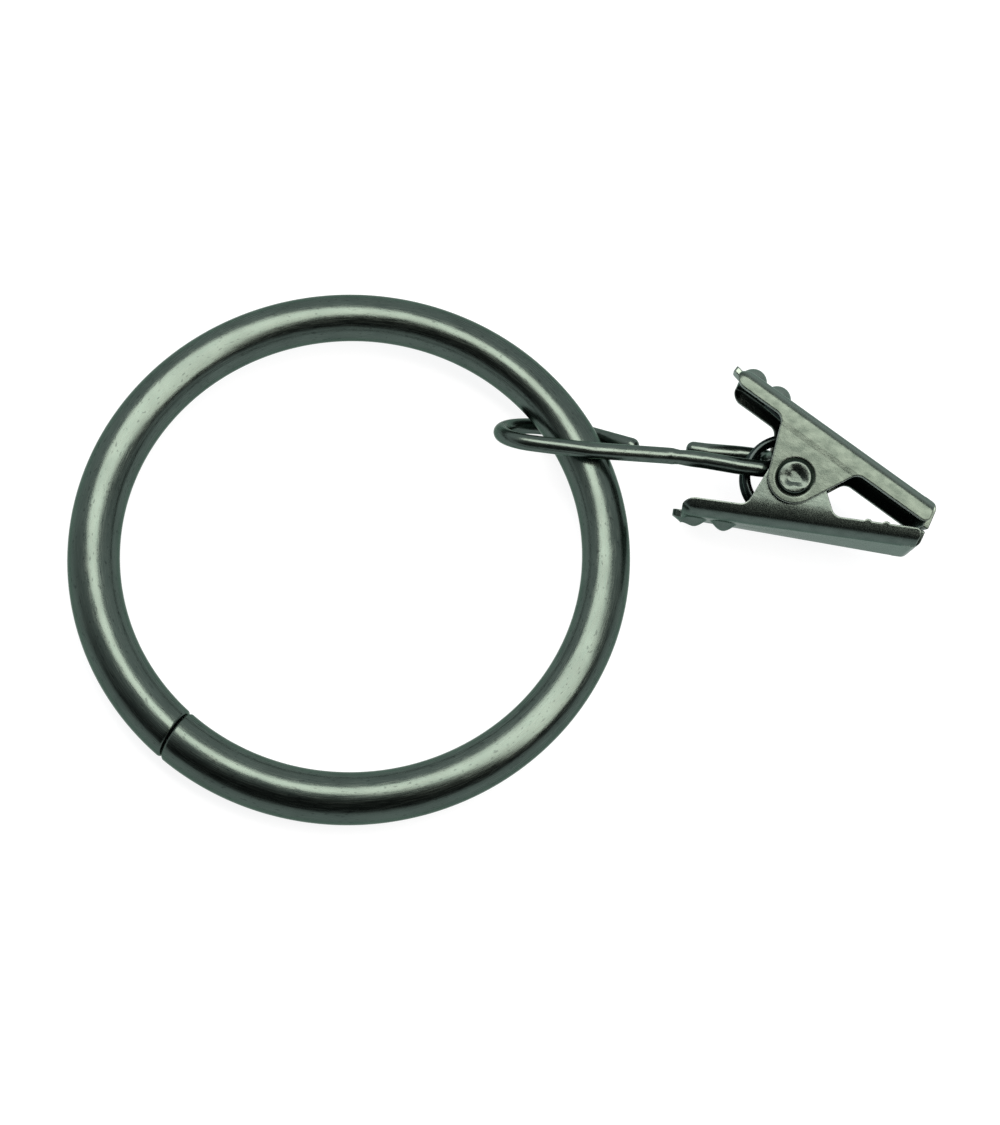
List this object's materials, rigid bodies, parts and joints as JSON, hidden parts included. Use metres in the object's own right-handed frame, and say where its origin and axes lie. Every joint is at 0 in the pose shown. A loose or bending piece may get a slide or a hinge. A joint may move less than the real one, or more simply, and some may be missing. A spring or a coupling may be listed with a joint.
{
  "type": "curtain ring with clip",
  "caption": "Round bar curtain ring carrying a bent wire link and a sprung sheet-metal clip, for hanging a curtain's heading from a rod.",
  "frame": {"origin": "centre of the ring, on the rod's axis and at mid-height of the bar", "axes": "+Z along the rod's axis, upward as the object lies; +X toward the side the clip hangs on, the longest extent; +Y across"},
  "size_m": [0.0713, 0.0462, 0.0126],
  "materials": {
    "ring_steel": "satin plated, with a fine grain along the bar",
    "link_steel": "satin plated drawn wire",
    "jaw_steel": "satin plated pressed sheet",
    "rivet_steel": "satin plated, crushed heads",
    "spring_steel": "dark drawn spring wire"
  },
  "bodies": {
    "ring_body": {"ring": "ring_steel"},
    "link_body": {"link": "link_steel"},
    "clip_body": {"lower_jaw": "jaw_steel", "pivot_rivet": "rivet_steel", "torsion_spring": "spring_steel"},
    "upper_jaw_body": {"upper_jaw": "jaw_steel"}
  },
  "joints": [
    {"name": "link_travel", "type": "hinge", "parent": "ring_body", "child": "link_body", "pos_m": [0, 0, 0], "axis": [0, 0, 1], "continuous": true},
    {"name": "clip_swing", "type": "hinge", "parent": "link_body", "child": "clip_body", "pos_m": [0.03503, 0.00597, 0.0033], "axis": [-0.2475, -0.2671, 0.9313], "range_deg": [-20, 18]},
    {"name": "jaw_open", "type": "hinge", "parent": "clip_body", "child": "upper_jaw_body", "pos_m": [0.03656, 0.0043, 0.00323], "axis": [-0.2475, -0.2671, 0.9313], "range_deg": [0, 25], "stiffness_Nm_per_rad": 0.0004, "springref_deg": -28.65, "deforming": ["torsion_spring"]}
  ]
}
